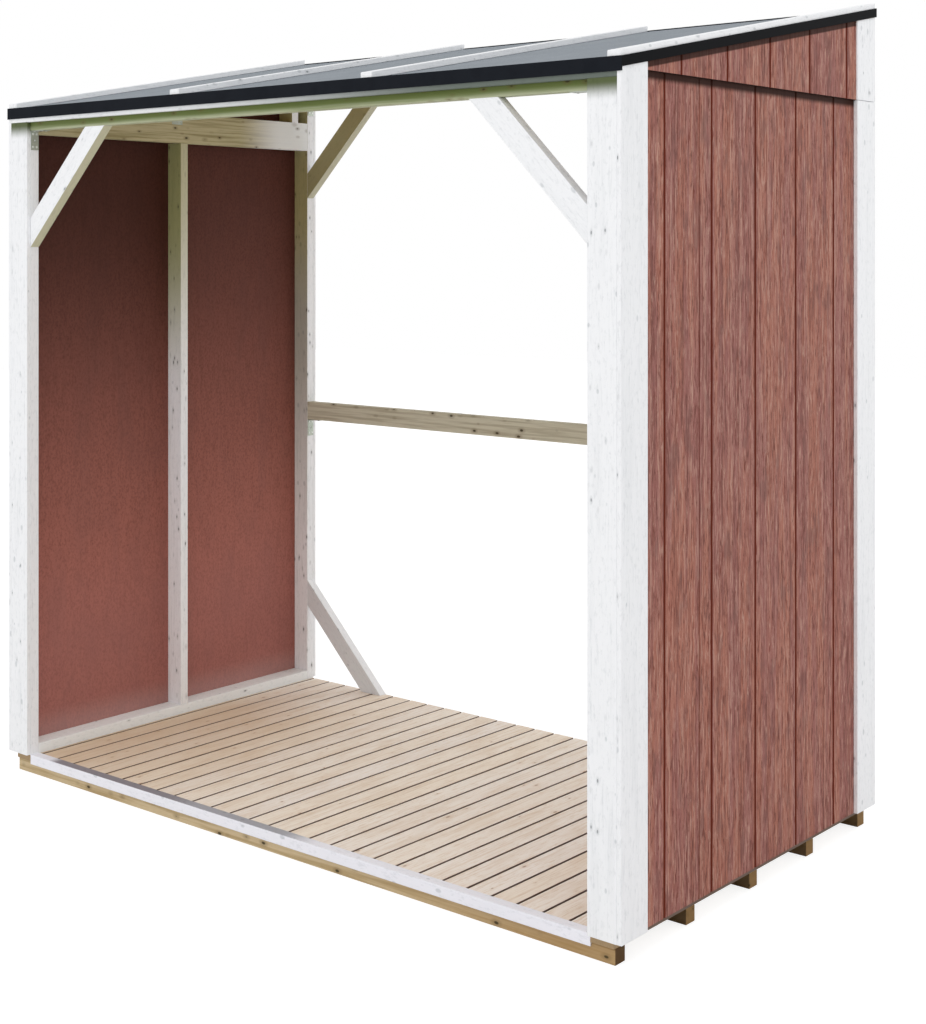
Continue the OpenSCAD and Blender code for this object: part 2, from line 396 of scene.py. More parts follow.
def floor_spruce():
    """Planed spruce: pale boards that differ a little from each other, from pinkish to straw, with thin
    late-wood lines and small brown-pink knots. Towards the front left corner, beside the left wall sheet, a
    warm painted shade darkens them, and the boards' sides are painted dark as shade in the gaps and at the
    outer edges."""
    look = finishes()
    made, tree, space, board = grained("Planed spruce", ALONG_Y, 10, 40, 300)
    lines = noise_value(tree, space(8, 420))
    fine = noise_value(tree, space(3.6, 46), 3, 0.7)
    cloud = noise_value(tree, space(50, 160), 2)
    core, ring = knots(tree, space, 38, 80, 0.12, 0.75)
    chance = add_node(tree, "TexWhiteNoise", {"noise_dimensions": "1D"}, {"W": board})
    parts = add_node(tree, "SeparateColor", None, {0: chance.outputs["Color"]}).outputs
    base = mix(tree, times(tree, parts[0], 0.7), look.floor, look.floor_straw)
    base = layers(
        tree, base,
        (lines, 0.48, 0.72, 0.45, look.floor_dark),
        (cloud, 0.45, 0.7, 0.3, look.floor_dark),
        (fine, 0.5, 0.7, 0.6, look.floor_dark),
    )
    for share in (times(tree, parts[1], 0.14), times(tree, ring, 0.3)):
        base = mix(tree, share, base, look.floor_dark)
    base = mix(tree, times(tree, core, 0.7), base, linear("a67c5c"))
    # Warm painted shade towards the front left corner, beside the left wall sheet
    front = ramp(tree, object_axis(tree, Y), 0.5, 0.05)
    straw = times(tree, ramp(tree, object_axis(tree, X), -0.2, -1.05, 0.0, 0.6), front)
    base = mix(tree, straw, base, linear("cfae84"))
    # Painted shade on the boards' sides, in the gaps and at the outer edges
    for sign in (1, -1):
        base = mix(tree, times(tree, facing(tree, X, sign), 0.9), base, linear("5e4434"))
    surface(tree, base, 0.6, fine, 0.3, 0.3)
    return made


def roof_spruce():
    """Sawn spruce boards under the roof: straw yellow, greyed by the weather."""
    look = finishes()
    made, tree, space, _ = grained("Sawn spruce", ALONG_X)
    lines = noise_value(tree, space(8, 420), distortion=0.4)
    core, _ = knots(tree, space, 80, 240, 0.13, 0.5)
    base = mix(tree, ramp(tree, lines, 0.45, 0.7, 0.0, 0.6), look.roof_board, linear("8f7446"))
    base = mix(tree, times(tree, core, 0.8), base, linear("5b3f1e"))
    surface(tree, base, 0.75, lines, 0.5, 0.3)
    return made


def siding_face(name, line_z=None):
    """Embossed wood-fibre siding with a red-brown coat: pressed grain with flames, fine pores, long lines,
    warm and mauve streaks, duller patches and grooves darkened as painted shade. From a line at a given
    height up, or else close under the roof, a painted shadow darkens the coat, and faces that look down
    carry painted shade."""
    look = finishes()
    made, tree, space, _ = grained(name, UPRIGHT, 15, 30, 150)
    fine = noise_value(tree, space(4.2, 38), 4, 0.75)
    pores = noise_value(tree, space(4, 60), 3, 0.7)
    lines = noise_value(tree, space(6, 1400), 2, 0.5)
    streak = noise_value(tree, space(11, 300), 3, 0.6)
    broad = noise_value(tree, space(40, 640), 2)
    flame = noise_value(tree, space(36, 260), 2, 0.5)
    rings = calc(tree, "PINGPONG", times(tree, flame, 11.0), 1.0)
    grain = add_node(tree, "Mix", {"data_type": "FLOAT"}, {0: 0.14, 2: fine, 3: rings}).outputs[0]
    base = mix(tree, ramp(tree, broad, 0.4, 0.6), look.siding, look.siding_mauve)
    base = layers(
        tree, base,
        (streak, 0.54, 0.66, 0.25, look.siding_light),
        (streak, 0.46, 0.36, 0.35, look.siding_dark),
        (lines, 0.57, 0.62, 0.5, look.siding_light),
        (lines, 0.42, 0.37, 0.6, look.siding_dark),
        (grain, 0.54, 0.66, 0.8, look.siding_light),
        (grain, 0.47, 0.36, 0.9, look.siding_dark),
        (pores, 0.58, 0.64, 0.8, look.groove),
    )
    patch = noise_value(tree, space(34, 90), 2)
    base = mix(tree, ramp(tree, patch, 0.56, 0.7, 0.0, 0.5), base, linear("7c5650"))
    # Painted shade down in the grooves and the fine joint
    groove = add_node(tree, "Attribute", {"attribute_name": "groove"}).outputs["Fac"]
    base = mix(tree, groove, base, look.groove)
    # Painted shadow under the gable sheet's lower edge, or else under the edge trim
    if line_z is not None:
        shade = ramp(tree, object_axis(tree, Z), line_z - 25 * MM, line_z - 11 * MM, 0.0, 0.97)
    else:
        shade = ramp(tree, below_roof(tree), -16 * MM, -12 * MM, 0.0, 0.9)
    base = mix(tree, shade, base, linear("2c1106"))
    # Painted shade on the faces that look down
    base = mix(tree, facing(tree, Z, -1), base, linear("1d0e08"))
    surface(tree, base, 0.7, grain, 0.7, 0.5, specular=0.12)
    return made


def sheet_back():
    """The smooth back of the wood-fibre sheet: a red-brown primer, finely speckled, with dull mauve clouds.
    Painted light and shade: paler lower down, a deep painted shade towards the roof, most of all on the
    front panel, and a pale painted reflection just above the sole plates."""
    look = finishes()
    made, tree, space, _ = grained("Red-brown primed wood-fibre back")
    speck = noise_value(tree, space(6, 9), 3, 0.7)
    cloud = noise_value(tree, space(90, 240))
    streak = noise_value(tree, space(14, 90), 3, 0.7)
    base = layers(
        tree, look.sheet_back,
        (speck, 0.42, 0.66, 0.45, look.siding_dark),
        (streak, 0.42, 0.7, 0.2, look.siding_dark),
        (cloud, 0.45, 0.7, 0.3, linear("94625a")),
    )
    height = object_axis(tree, Z)
    # Painted light: paler and pinker lower down
    base = mix(tree, ramp(tree, height, 0.75, 0.25, 0.0, 0.2), base, linear("b07c7c"))
    # Painted shade towards the roof, deeper on the front panel
    panel = ramp(tree, object_axis(tree, Y), -0.05, 0.05, 1.0, 0.87)
    shade = times(tree, ramp(tree, height, 0.43, 1.78, 0.0, 0.86), panel)
    base = mix(tree, shade, base, look.sheet_back_shade)
    # A pale painted reflection just above the sole plates
    base = mix(tree, ramp(tree, height, 0.17, 0.09, 0.0, 0.3), base, linear("c3a6a2"))
    surface(tree, base, 0.75, speck, 0.2, 0.2, specular=0.12)
    return made


def bitumen_felt():
    """Mineral-faced bitumen felt: slate-grey chips, about 1 mm, drawn at 3 mm so that they show."""
    look = finishes()
    made, tree, space, _ = grained("Mineral-faced bitumen felt")
    chips = noise_value(tree, space(3, 3), 3, 0.7)
    cloud = noise_value(tree, space(160, 160))
    base = layers(
        tree, look.felt,
        (chips, 0.4, 0.7, 0.4, linear("5d636b")),
        (cloud, 0.4, 0.7, 0.25, linear("9da4ab")),
    )
    surface(tree, base, 0.92, chips, 0.8, 0.5)
    return made


def coated_trim():
    """Folded steel with a dull black plastic coat that reflects little."""
    look = finishes()
    made, tree, space, _ = grained("Black coated steel")
    cloud = noise_value(tree, space(40, 40))
    base = mix(tree, ramp(tree, cloud, 0.4, 0.7, 0.0, 0.4), look.trim, linear("14171d"))
    # Painted shade on the faces that look towards +X
    base = mix(tree, facing(tree, X, 1), base, linear("0d0e11"))
    surface(tree, base, 0.7, specular=0.06)
    return made


def galvanised():
    """Zinc-plated sheet steel: dull silver with a faint crystal pattern, about 8 mm."""
    look = finishes()
    made, tree, space, _ = grained("Galvanised steel")
    cells = add_node(tree, "TexVoronoi", None, {"Vector": space(8, 8), "Scale": 1.0})
    split = add_node(tree, "SeparateColor", None, {0: cells.outputs["Color"]})
    base = mix(tree, times(tree, split.outputs[0], 0.35), look.zinc, linear("959d90"))
    surface(tree, base, 0.42, metallic=1.0, specular=0.5)
    return made


def zinc_screw():
    """Bright zinc-plated screw heads."""
    made, tree, space, _ = grained("Bright zinc screw")
    worn = noise_value(tree, space(2, 2), 2)
    base = mix(tree, ramp(tree, worn, 0.4, 0.7, 0.0, 0.4), linear("dfe3de"), linear("aeb4ae"))
    surface(tree, base, 0.35, metallic=0.9, specular=0.5)
    return made


# ---- mesh helpers ----

def add_box(bm, low, high):
    """A box between two corners. Returns its vertices."""
    low, high = Vector(low), Vector(high)
    size = Matrix.Diagonal((*(high - low), 1.0))
    return bmesh.ops.create_cube(bm, size=1.0, matrix=Matrix.Translation((low + high) / 2) @ size)["verts"]


def edges_of(verts):
    return list({e for v in verts for e in v.link_edges})


def set_tone(verts, layer, tone):
    """Gives the faces at some vertices the number that sets their part of a pattern."""
    for face in {f for v in verts for f in v.link_faces}:
        face[layer] = tone


def slope_top(verts):
    """Moves the upper corners of an upright box onto the roof boards' underside."""
    middle = sum(v.co.z for v in verts) / len(verts)
    for v in verts:
        if v.co.z > middle:
            v.co.z = under_roof(v.co.y)


def face_outward(bm):
    bmesh.ops.recalc_face_normals(bm, faces=bm.faces[:])


def join(bm, part):
    """Adds one bmesh to another, and frees it."""
    mesh = bpy.data.meshes.new("part")
    part.to_mesh(mesh)
    part.free()
    bm.from_mesh(mesh)
    bpy.data.meshes.remove(mesh)


def round_edges(bm, edges, width, segments=2):
    bmesh.ops.bevel(
        bm, geom=edges, offset=width, segments=segments, profile=0.5, affect="EDGES", material=-1,
        offset_type="OFFSET", clamp_overlap=True,
    )


def tilt(bm):
    """Moves a shape that lies flat, at its height over the roof boards' underside, onto the sloping roof."""
    slope = Matrix.Identity(4)
    slope[2][1] = ROOF_SLOPE
    slope[2][3] = under_roof(0)
    bmesh.ops.transform(bm, matrix=slope, verts=bm.verts[:])


def new_piece(name, bm, materials, replaces=()):
    """Makes a finished piece from a bmesh. It rides on the store and stands for the CAD nodes named."""
    mesh = bpy.data.meshes.new(name)
    bm.to_mesh(mesh)
    bm.free()
    piece = new_object(name, mesh)
    for material in materials:
        mesh.materials.append(material)
    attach(piece, "root")
    if replaces:
        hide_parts(*replaces)
    return piece


def finish_node(node, material, rounded=True):
    """Gives a CAD node its material, and planed timber its slightly rounded edges."""
    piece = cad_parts[node]
    piece.data.materials.clear()
    piece.data.materials.append(material)
    if not rounded:
        return
    weld = piece.modifiers.new("Weld", "WELD")
    weld.merge_threshold = WELD
    bevel = piece.modifiers.new("Planed edges", "BEVEL")
    bevel.width = sizes().timber_round
    bevel.segments = 2
    bevel.limit_method = "ANGLE"
    bevel.angle_limit = math.radians(30)
    normals = piece.modifiers.new("Normals", "WEIGHTED_NORMAL")
    normals.keep_sharp = True


def on_side(side, x, y, z):
    """A place on the right, or its mirror image on the left where side is -1."""
    return Matrix.Translation((side * x, y, z)) @ Matrix.Diagonal((side, 1, 1, 1))


def both(part):
    """The CAD nodes of a part on the left and on the right."""
    return [f"{side}_{part}" for side in SIDES]


# ---- operators ----

class LOGSTORE_OT_stage(bpy.types.Operator):
    """Make the pale floor, the soft studio light and the camera"""

    bl_idname = "logstore.stage"
    bl_label = "Stage, Light and Camera"

    FLOOR_SIZE = 30.0
    # Just under the bearers, so that no two faces share a plane
    FLOOR_Z = -0.5 * MM
    FLOOR_GLOW = 0.79
    SKY_LIGHT = 0.82
    # Name, place, target, size and power in watts
    LAMPS = (
        ("Front softbox", (1.2, -6.2, 9.4), (0, 0, 0.6), 7.0, 160),
        ("Back softbox", (1.5, 8.4, 2.6), (0, 0, 0.8), 4.5, 138),
        ("Low softbox", (-3.6, -9.6, 1.4), (0, 0, 1.0), 6.0, 35),
    )
    CAMERA_PLACE = (3.212, -3.6555, 1.5838)
    CAMERA_HEADING = math.radians(39.84)
    CAMERA_LENS = 59.32
    # The camera looks level, so that uprights stay parallel, and the store sits low in the frame
    CAMERA_SHIFT_Y = -0.26
    WHITE = (1, 1, 1, 1)

    def mix_output(self, tree, output, seen, lighting, shown):
        """Shows one shader to the rays that the camera sees by, and lights the store with the other."""
        shaders = {0: seen, 1: lighting.outputs[0], 2: shown.outputs[0]}
        chosen = add_node(tree, "MixShader", None, shaders)
        add_node(tree, output, None, {"Surface": chosen.outputs[0]})

    def floor(self):
        bm = bmesh.new()
        bmesh.ops.create_grid(
            bm, x_segments=1, y_segments=1, size=self.FLOOR_SIZE / 2,
            matrix=Matrix.Translation((0, 0, self.FLOOR_Z)),
        )
        mesh = bpy.data.meshes.new("Studio floor")
        bm.to_mesh(mesh)
        bm.free()
        floor = new_object("Studio floor", mesh)
        made, tree = new_material("Studio floor")
        seen = add_node(tree, "LightPath").outputs["Is Camera Ray"]
        lit = add_node(tree, "BsdfDiffuse", None, {"Color": linear("f6f6f6")})
        shown = add_node(tree, "BsdfDiffuse", None, {"Color": linear("b4b4b4")})
        glow = add_node(tree, "Emission", None, {"Color": self.WHITE, "Strength": self.FLOOR_GLOW})
        white = add_node(tree, "AddShader", None, {0: shown.outputs[0], 1: glow.outputs[0]})
        self.mix_output(tree, "OutputMaterial", seen, lit, white)
        mesh.materials.append(made)

    def sky(self):
        world = bpy.data.worlds.new("Studio")
        world.use_nodes = True
        tree = world.node_tree
        tree.nodes.clear()
        path = add_node(tree, "LightPath")
        seen = path.outputs["Is Camera Ray"]
        for ray in ("Is Glossy Ray", "Is Transmission Ray"):
            seen = calc(tree, "MAXIMUM", seen, path.outputs[ray])
        light, white = [
            add_node(tree, "Background", None, {"Color": self.WHITE, "Strength": strength})
            for strength in (self.SKY_LIGHT, 1.0)
        ]
        self.mix_output(tree, "OutputWorld", seen, light, white)
        bpy.context.scene.world = world

    def lamp(self, name, place, target, size, power):
        data = bpy.data.lights.new(name, "AREA")
        data.shape = "SQUARE"
        data.size = size
        data.energy = power
        lamp = new_object(name, data)
        lamp.location = place
        lamp.rotation_euler = (Vector(target) - Vector(place)).to_track_quat("-Z", "Y").to_euler()

    def camera(self):
        data = bpy.data.cameras.new("Camera")
        data.lens = self.CAMERA_LENS
        data.shift_y = self.CAMERA_SHIFT_Y
        camera = new_object("Camera", data)
        camera.location = self.CAMERA_PLACE
        camera.rotation_euler = (math.pi / 2, 0.0, self.CAMERA_HEADING)
        bpy.context.scene.camera = camera

    def execute(self, context):
        context.scene.view_settings.view_transform = "Standard"
        self.floor()
        self.sky()
        for values in self.LAMPS:
            self.lamp(*values)
        self.camera()
        return {"FINISHED"}


class LOGSTORE_OT_timbers(bpy.types.Operator):
    """Paint, stain and round the frame timbers and the corner boards, with painted shade and shadow under
    the roof
    """

    bl_idname = "logstore.timbers"
    bl_label = "Timbers and Corner Boards"

    FRONT, TOP, UNDER = (Y, -1), (Z, 1), (Z, -1)
    # A thin old coat, with the grain and the dark knots showing through
    WORN = {"grain": 1.3, "streak": "d6d8d6", "knotty": 0.6, "knot": "3c3f38"}
    # The way that each brace's grain runs
    BRACES = {
        "left_front_brace": RISING_RIGHT, "right_front_brace": RISING_LEFT,
        "left_upper_back_brace": RISING_RIGHT, "right_upper_back_brace": RISING_LEFT,
        "left_lower_back_brace": RISING_LEFT, "right_lower_back_brace": RISING_RIGHT,
    }

    def painted(self, eaves_z):
        """The paint finishes, each with its CAD nodes."""
        # A green painted shadow under the eaves trim, and bare wood at the sawn lower ends
        eaves = painted_pine(
            "green at the eaves", UPRIGHT,
            tint("47541c", Z, eaves_z - 52 * MM, eaves_z - 8 * MM, 0.97),
            tint("a88a5e", Z, 55.5 * MM, 54.5 * MM, 0.95),
        )
        # Towards the roof, painted shade with the olive of the timber in it, deeper on the front faces
        stud = painted_pine(
            "studs", UPRIGHT,
            tint("c8c5a0", Z, 1.05, 1.85, 0.95), tint("abab76", Z, 1.1, 1.7, 0.95, self.FRONT), **self.WORN,
        )
        # Painted shade on the front faces: grey from low down, and olive higher up
        back = painted_pine(
            "back posts", UPRIGHT,
            tint("b4b0a0", Z, 0.4, 1.4, 0.9, self.FRONT),
            tint(finishes().stain, Z, 1.3, 1.75, 0.95, self.FRONT), **self.WORN,
        )
        # A bluish white that offsets the pink light reflected from the sheets, and a nearly black painted
        # shade on the outer faces, in the gap under the wall sheets
        plate = painted_pine(
            "sole plates", ALONG_Y, tint("fcffff", Z, 0, 0.01, 1.0),
            *(tint("1d130c", X, out * 1.05, out * 1.09, 0.95, (X, out)) for out in (1, -1)),
            grain=0.4, knotty=0.15,
        )
        # Painted shade under the edge trim, greyer towards the right, and faint all along but the left end
        strip = painted_pine(
            "eaves batten", ALONG_X, tint("59645a", X, -0.55, 0.7, 0.95),
            tint("59645a", X, -1.1, -0.9, 0.12),
        )
        # Painted shade on the top: grey from the middle leftwards, darker on the left, and none at the left
        # end
        sill = painted_pine(
            "threshold", ALONG_X, tint("f8f8ff", Z, 0, 0.01, 1.0),
            tint("a9aab0", X, 0.18, 0.03, 0.95, self.TOP), tint("8f8c92", X, -0.28, -0.42, 0.95, self.TOP),
            tint("f8f8ff", X, -0.9, -0.95, 0.95, self.TOP), grain=0.3, knotty=0.0,
        )
        return {
            painted_pine("", UPRIGHT): both("front_side_board") + both("back_board"),
            eaves: both("front_board") + both("front_post"),
            stud: both("mid_stud"),
            back: both("back_post") + ["rail_blocks"],
            plate: both("sole_plate"),
            strip: ["eaves_batten"],
            sill: ["threshold"],
        }

    def treated(self, eaves_z):
        """The finishes of the treated timbers, each with its CAD nodes."""
        look = finishes()
        rail_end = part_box("left_top_rail")[1].y
        # A green painted shadow under the eaves trim, on the front faces
        beam = treated_pine(
            "beams", ALONG_X, linear("c2c6a8"), linear("98a078"),
            tint(look.eaves_shadow_green, Z, eaves_z - 30 * MM, eaves_z - 8 * MM, 0.95, self.FRONT),
        )
        across = treated_pine("back rail", ALONG_X, linear("d8d4bf"), linear("b3ab92"))
        # Painted light towards the open back, where the rails turn nearly white
        rail = treated_pine(
            "side rails", ALONG_Y, look.rail, look.rail_dark,
            tint("fafdff", Y, rail_end - 335 * MM, rail_end - 120 * MM, 0.9),
        )
        # Browner to the right and on the sawn ends. Painted shade on the front bearer's right end,
        # under the threshold, and on the front faces of the bearers under the floor
        ground = treated_pine(
            "bearers", ALONG_X, look.treated, look.treated_dark,
            tint("a0763a", X, 0.1, 1.1, 0.62),
            *(face_tint("86663a", X, out, 0.85) for out in (1, -1)),
            tint("4f3516", Y, -0.554, -0.556, 0.9, (X, 1)), tint("3a2712", Y, -0.52, -0.48, 0.8, self.FRONT),
            tint("4a3519", Z, 32 * MM, 38 * MM, 0.6, self.FRONT),
        )
        return {
            beam: ["front_beam", "back_beam"],
            across: ["back_mid_rail"],
            rail: both("top_rail") + ["rafters"],
            ground: [f"bearer_{i}" for i in range(1, 6)],
        }

    def brace_paint_and_shade(self, node, turn):
        """Thin paint with painted shade on the faces turned from the light: olive on the front faces and
        undersides of the upper back braces, grey on the front faces of the lower ones, and grey on the
        undersides of the front ones.
        """
        if "lower" in node:
            shades = [face_tint("e0e4e6", *self.FRONT, 0.8)]
        elif "back" in node:
            shades = [face_tint("b0a878", *self.FRONT, 0.95), face_tint("bfbb9c", *self.UNDER, 0.95)]
        else:
            shades = [face_tint("cac8a6" if "left" in node else "a9a8ae", *self.UNDER, 0.95)]
        return painted_pine(node.replace("_", " "), turn, *shades, grain=0.6, knotty=0.08)

    def execute(self, context):
        eaves_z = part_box("eaves_batten")[0].z
        for material, nodes in (self.painted(eaves_z) | self.treated(eaves_z)).items():
            for node in nodes:
                finish_node(node, material)
        for node, turn in self.BRACES.items():
            finish_node(node, self.brace_paint_and_shade(node, turn))
        return {"FINISHED"}


class LOGSTORE_OT_floor(bpy.types.Operator):
    """Lay the floor boards"""

    bl_idname = "logstore.floor"
    bl_label = "Floor Boards"

    # How far a board may lie below the highest ones, in mm
    UNEVEN = 0.5

    def execute(self, context):
        size = sizes()
        low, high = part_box("floor_deck")
        count = round((high.x - low.x + size.deck_gap) / size.deck_pitch)
        width = (high.x - low.x - (count - 1) * size.deck_gap) / count
        chance = random.Random(29)
        bm = bmesh.new()
        board = bm.faces.layers.float.new("board")
        for i in range(count):
            x = low.x + i * (width + size.deck_gap)
            sunk = chance.uniform(0.0, self.UNEVEN) * MM
            verts = add_box(bm, (x, low.y, low.z), (x + width, high.y, high.z - sunk))
            set_tone(verts, board, chance.random())
        round_edges(bm, bm.edges[:], size.deck_round)
        new_piece("floor_boards", bm, [floor_spruce()], ["floor_deck"])
        return {"FINISHED"}


class LOGSTORE_OT_sheets(bpy.types.Operator):
    """Press the grooves into the wall and gable sheets"""

    bl_idname = "logstore.sheets"
    bl_label = "Wall and Gable Sheets"

    EDGE_ROUND = 1.5 * MM
    # Points less than this behind the face are part of it
    FACE_DEPTH = 2 * MM
    # A sheet that starts less than this behind the front has the fine joint too
    FRONT_LAP = 20 * MM
    # How much of the groove's painted shade the fine joint has
    JOINT_SHADE = 0.6

    def grooves(self, low, high, first_groove):
        """The middle, width, depth and share of painted shade of each groove."""
        size = sizes()
        found = []
        y = FRONT_Y + first_groove
        while y < high.y - size.groove_w:
            if y > low.y + size.groove_w:
                found.append((y, size.groove_w, size.groove_depth, 1.0))
            y += size.groove_pitch
        return found

    def sheet(self, node, first_groove):
        size = sizes()
        low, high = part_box(node)
        out = 1 if low.x > 0 else -1
        face_x = high.x if out > 0 else low.x
        bm = bmesh.new()
        groove = bm.faces.layers.float.new("groove")
        board = bm.faces.layers.float.new("board")
        slope_top(add_box(bm, low, high))
        rim = [e for e in bm.edges if all(abs(v.co.x - face_x) < WELD for v in e.verts)]
        round_edges(bm, rim, self.EDGE_ROUND)
        joints = self.grooves(low, high, first_groove)
        centres = [joint[0] for joint in joints]
        if low.y < FRONT_Y + self.FRONT_LAP:
            joints.append((FRONT_Y + size.joint_line, size.joint_w, size.joint_w / 2, self.JOINT_SHADE))
        for y, width, depth, _ in joints:
            half, flat = width / 2, width / 5
            for cut in (y - half, y - flat, y + flat, y + half):
                bmesh.ops.bisect_plane(
                    bm, geom=bm.verts[:] + bm.edges[:] + bm.faces[:], dist=0.1 * WELD,
                    plane_co=(0, cut, 0), plane_no=(0, 1, 0),
                )
            bottom = [
                v for v in bm.verts
                if abs(v.co.x - face_x) < self.FACE_DEPTH and abs(v.co.y - y) < flat + WELD
            ]
            bmesh.ops.translate(bm, verts=bottom, vec=(-out * depth, 0, 0))
        bm.normal_update()
        chance = random.Random(7)
        tones = [chance.random() for _ in range(len(centres) + 1)]
        for f in bm.faces:
            middle = f.calc_center_median()
            f[board] = tones[sum(y < middle.y for y in centres)]
            on_face = abs(middle.x - face_x) < size.groove_depth + MM and f.normal.x * out > 0.05
            f[groove] = 0.0
            for y, width, _, shade in joints:
                if on_face and abs(middle.y - y) < width / 2:
                    f[groove] = shade
            # The two materials of a sheet are its face and its back
            f.material_index = 1 if f.normal.x * out < -0.9 else 0
        return bm

    def execute(self, context):
        size = sizes()
        back = sheet_back()
        line_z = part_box("left_gable_sheet")[0].z
        for kind, first, line in (
            ("wall", size.wall_first_groove, line_z), ("gable", size.gable_first_groove, None)
        ):
            face = siding_face(f"Red-brown embossed {kind} siding", line)
            for side in SIDES:
                node = f"{side}_{kind}_sheet"
                new_piece(f"{side}_{kind}_siding", self.sheet(node, first), [face, back], [node])
        return {"FINISHED"}


class LOGSTORE_OT_back_side_boards(bpy.types.Operator):
    """Make the back side boards from two lengths that meet at the gable's lower edge"""

    bl_idname = "logstore.back_side_boards"
    bl_label = "Back Side Boards"

    def execute(self, context):
        size = sizes()
        material = painted_pine("two lengths", UPRIGHT)
        for side in SIDES:
            low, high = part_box(f"{side}_back_side_board")
            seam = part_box(f"{side}_gable_sheet")[0].z
            bm = bmesh.new()
            board = bm.faces.layers.float.new("board")
            lower = add_box(bm, low, (high.x, high.y, seam - size.board_seam / 2))
            upper = add_box(bm, (low.x, low.y, seam + size.board_seam / 2), high)
            slope_top(upper)
            for verts, tone in ((lower, 0.2), (upper, 0.7)):
                set_tone(verts, board, tone)
            round_edges(bm, bm.edges[:], size.timber_round)
            new_piece(
                f"{side}_back_side_boards", bm, [material], [f"{side}_back_side_board"]
            )
        return {"FINISHED"}


class LOGSTORE_OT_roof(bpy.types.Operator):
    """Lay the roof boards, the felt, the battens and the edge trim"""

    bl_idname = "logstore.roof"
    bl_label = "Roof"

    FELT_CELLS = (90, 50)
    # Waves of the felt in a metre, and the level of the noise that they are read at
    WAVES, WAVE_LEVEL = 5, 1.7
    BATTEN_W, BATTEN_ROUND = 38 * MM, 2 * MM
    # From the middle of the roof to the inner battens
    INNER_BATTEN_X = 360 * MM
    BATTEN_TONE = 0.23

    def boards(self):
        size = sizes()
        count = round((BACK_Y - FRONT_Y) / size.roof_board_pitch)
        width = (BACK_Y - FRONT_Y) / count
        chance = random.Random(13)
        bm = bmesh.new()
        board = bm.faces.layers.float.new("board")
        for i in range(count):
            y = FRONT_Y + i * width
            verts = add_box(bm, (-ROOF_HALF_X, y, 0), (ROOF_HALF_X, y + width, ROOF_BOARD_T))
            set_tone(verts, board, chance.random())
        lengthwise = [
            e for e in bm.edges
            if all(v.co.z < WELD for v in e.verts) and e.calc_length() > ROOF_HALF_X
        ]
        round_edges(bm, lengthwise, size.roof_board_round, 1)
        tilt(bm)
        new_piece("roof_boarding", bm, [roof_spruce()], ["roof_boards"])

    def felt(self):
        size = sizes()
        bm = bmesh.new()
        across, deep = self.FELT_CELLS
        extent = Matrix.Diagonal((2 * ROOF_HALF_X, BACK_Y - FRONT_Y, 1, 1))
        bmesh.ops.create_grid(
            bm, x_segments=across, y_segments=deep, size=0.5,
            matrix=Matrix.Translation((0, 0, FELT_TOP)) @ extent,
        )
        top = bm.verts[:]
        for made in bmesh.ops.extrude_face_region(bm, geom=bm.faces[:])["geom"]:
            if isinstance(made, bmesh.types.BMVert):
                made.co.z = ROOF_BOARD_T
        for v in top:
            wave = noise.noise(Vector((v.co.x * self.WAVES, v.co.y * self.WAVES, self.WAVE_LEVEL)))
            v.co.z -= size.felt_wave * (0.5 + 0.5 * wave)
        face_outward(bm)
        tilt(bm)
        piece = new_piece("roofing_felt", bm, [bitumen_felt()], ["roof_felt"])
        piece.data.shade_smooth()
        piece.data.set_sharp_from_angle(angle=math.radians(40))

    def battens(self):
        low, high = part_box("roof_battens")
        half = self.BATTEN_W / 2
        edge_x = high.x - half
        bm = bmesh.new()
        board = bm.faces.layers.float.new("board")
        for i, x in enumerate((-edge_x, -self.INNER_BATTEN_X, self.INNER_BATTEN_X, edge_x)):
            verts = add_box(bm, (x - half, low.y, FELT_TOP), (x + half, high.y, BATTEN_TOP))
            set_tone(verts, board, i * self.BATTEN_TONE)
        round_edges(bm, bm.edges[:], self.BATTEN_ROUND)
        tilt(bm)
        paint = painted_pine("roof battens", ALONG_Y)
        new_piece("felt_battens", bm, [paint], ["roof_battens"])

    def execute(self, context):
        self.boards()
        self.felt()
        self.battens()
        finish_node("roof_trim", coated_trim(), rounded=False)
        return {"FINISHED"}


